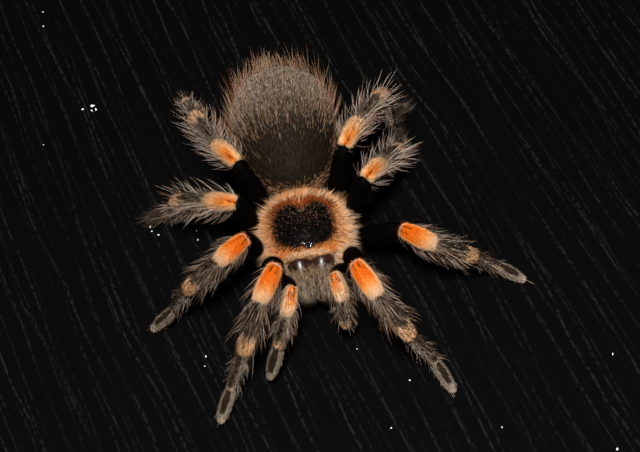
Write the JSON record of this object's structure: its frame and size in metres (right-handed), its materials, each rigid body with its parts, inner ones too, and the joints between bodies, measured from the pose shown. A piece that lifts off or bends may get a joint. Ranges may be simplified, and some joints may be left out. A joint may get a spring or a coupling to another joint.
{
  "type": "framed tarantula specimen",
  "caption": "Dry orange-kneed tarantula fixed in a standing pose on a black wood-grain board, inside a plain black square tray frame with an open front.",
  "frame": {"origin": "middle of the frame's flat back, on the surface it lies on", "axes": "+Z out of the board's face, -Y towards the rail that the spider's head points to, +X to the right seen from the front"},
  "size_m": [0.232, 0.232, 0.0281],
  "materials": {
    "laminate": "satin black laminate with a fine embossed grey wood grain",
    "rail_paint": "satin black paint",
    "shield": "hard dark shell under short hair, orange round the rim",
    "dark_skin": "black skin under short black hair",
    "abdomen_coat": "dense olive-black velvet with long reddish hairs",
    "jaw_coat": "glossy dark base, then grey-brown velvet",
    "fang": "polished dark horn",
    "orange_coat": "short orange hair fading to cream",
    "leg_coat": "grey-brown hair with a pale band at the far end",
    "foot_coat": "short dense pile, grey-olive at the edges"
  },
  "bodies": {
    "root": {"backing_board": "laminate", "front_rail": "rail_paint", "right_rail": "rail_paint", "back_rail": "rail_paint", "left_rail": "rail_paint", "carapace": "shield", "underside": "dark_skin", "abdomen": "abdomen_coat", "left_chelicera": "jaw_coat", "left_fang": "fang", "right_chelicera": "jaw_coat", "right_fang": "fang", "left_leg_1_femur": "dark_skin", "left_leg_1_patella": "orange_coat", "left_leg_1_tibia": "leg_coat", "left_leg_1_metatarsus": "leg_coat", "left_leg_1_tarsus": "foot_coat", "right_leg_1_femur": "dark_skin", "right_leg_1_patella": "orange_coat", "right_leg_1_tibia": "leg_coat", "right_leg_1_metatarsus": "leg_coat", "right_leg_1_tarsus": "foot_coat", "left_leg_2_femur": "dark_skin", "left_leg_2_patella": "orange_coat", "left_leg_2_tibia": "leg_coat", "left_leg_2_metatarsus": "leg_coat", "left_leg_2_tarsus": "foot_coat", "right_leg_2_femur": "dark_skin", "right_leg_2_patella": "orange_coat", "right_leg_2_tibia": "leg_coat", "right_leg_2_metatarsus": "leg_coat", "right_leg_2_tarsus": "foot_coat", "left_leg_3_femur": "dark_skin", "left_leg_3_patella": "orange_coat", "left_leg_3_tibia": "leg_coat", "left_leg_3_metatarsus": "leg_coat", "left_leg_3_tarsus": "foot_coat", "right_leg_3_femur": "dark_skin", "right_leg_3_patella": "orange_coat", "right_leg_3_tibia": "leg_coat", "right_leg_3_metatarsus": "leg_coat", "right_leg_3_tarsus": "foot_coat", "left_leg_4_femur": "dark_skin", "left_leg_4_patella": "orange_coat", "left_leg_4_tibia": "leg_coat", "left_leg_4_metatarsus": "leg_coat", "left_leg_4_tarsus": "foot_coat", "right_leg_4_femur": "dark_skin", "right_leg_4_patella": "orange_coat", "right_leg_4_tibia": "leg_coat", "right_leg_4_metatarsus": "leg_coat", "right_leg_4_tarsus": "foot_coat", "left_palp_femur": "dark_skin", "left_palp_patella": "orange_coat", "left_palp_tibia": "leg_coat", "left_palp_tarsus": "foot_coat", "right_palp_femur": "dark_skin", "right_palp_patella": "orange_coat", "right_palp_tibia": "leg_coat", "right_palp_tarsus": "foot_coat"}
  },
  "joints": []
}
